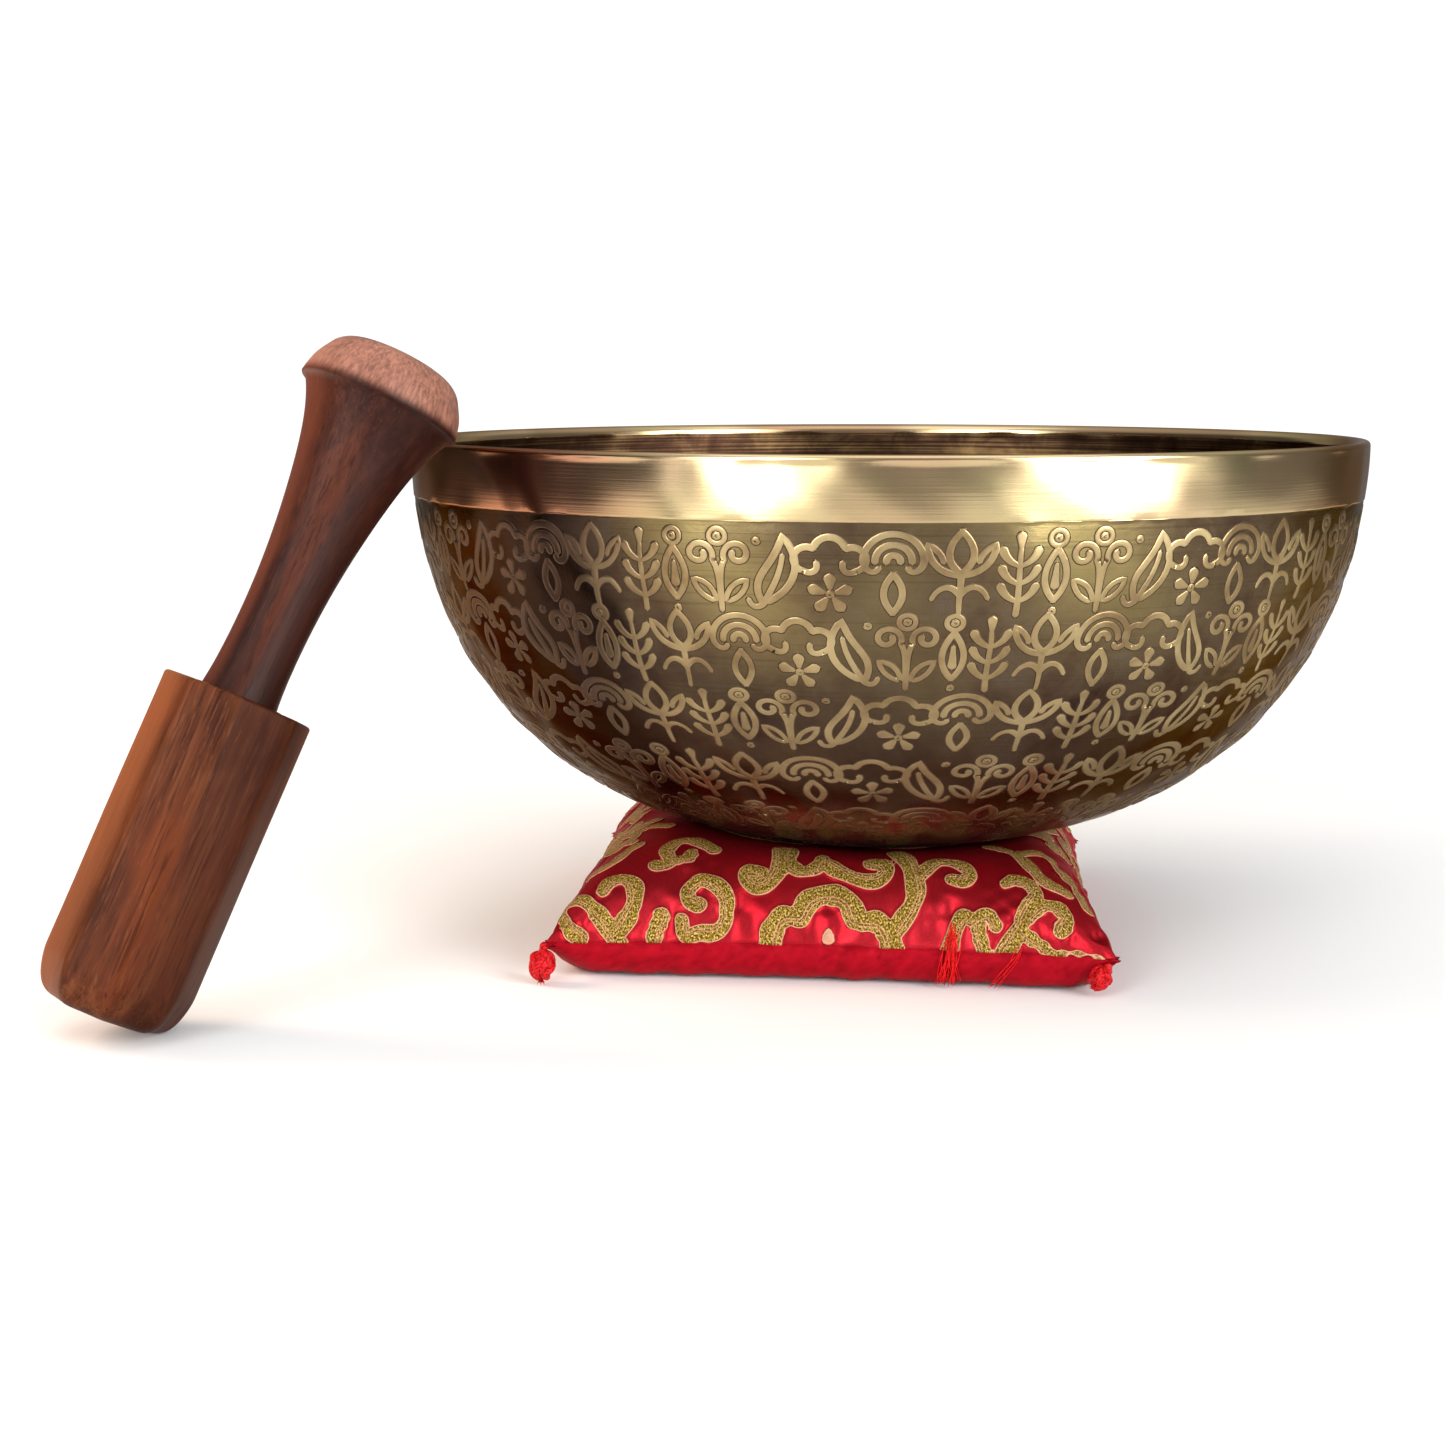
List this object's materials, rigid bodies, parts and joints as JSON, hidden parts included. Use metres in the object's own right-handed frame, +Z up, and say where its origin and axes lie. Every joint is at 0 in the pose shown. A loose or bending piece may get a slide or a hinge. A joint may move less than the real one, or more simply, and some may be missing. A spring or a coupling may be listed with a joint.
{
  "type": "singing bowl",
  "caption": "Hammered brass singing bowl resting on a square brocade cushion, with a turned wooden mallet leaning on its rim.",
  "frame": {"origin": "on the resting plane, on the underside of the cushion, under the bowl's axis", "axes": "+Z up along the bowl's axis, +X along one side of the cushion and away from the mallet, +Y towards the back"},
  "size_m": [0.3508, 0.3007, 0.1754],
  "materials": {
    "bowl_brass": "hammered and aged, with a polished band under the rim and etched ornament below it",
    "handle_wood": "oiled dark rosewood",
    "barrel_wood": "oiled reddish rosewood with open grain",
    "wadding": "soft white wadding",
    "brocade": "glossy red satin with raised gold thread scrolls",
    "satin": "plain red satin",
    "knot_cord": "matt twisted red cord"
  },
  "bodies": {
    "cushion": {"cushion_filling": "wadding", "cushion_brocade_cover": "brocade", "cushion_base_cover": "satin", "corner_knot_front_left": "knot_cord", "corner_knot_front_right": "knot_cord", "corner_knot_back_left": "knot_cord", "corner_knot_back_right": "knot_cord"},
    "bowl": {"bowl": "bowl_brass"},
    "mallet": {"mallet_barrel": "barrel_wood", "mallet_handle": "handle_wood"}
  },
  "joints": [
    {"name": "bowl_lift", "type": "slide", "parent": "cushion", "child": "bowl", "axis": [0, 0, 1], "range_m": [0, 0.15]},
    {"name": "mallet_tip", "type": "hinge", "parent": "cushion", "child": "mallet", "pos_m": [-0.18292, -0.13486, 0.008], "axis": [0.5934, -0.8049, 0], "range_deg": [0, 26.4]}
  ]
}
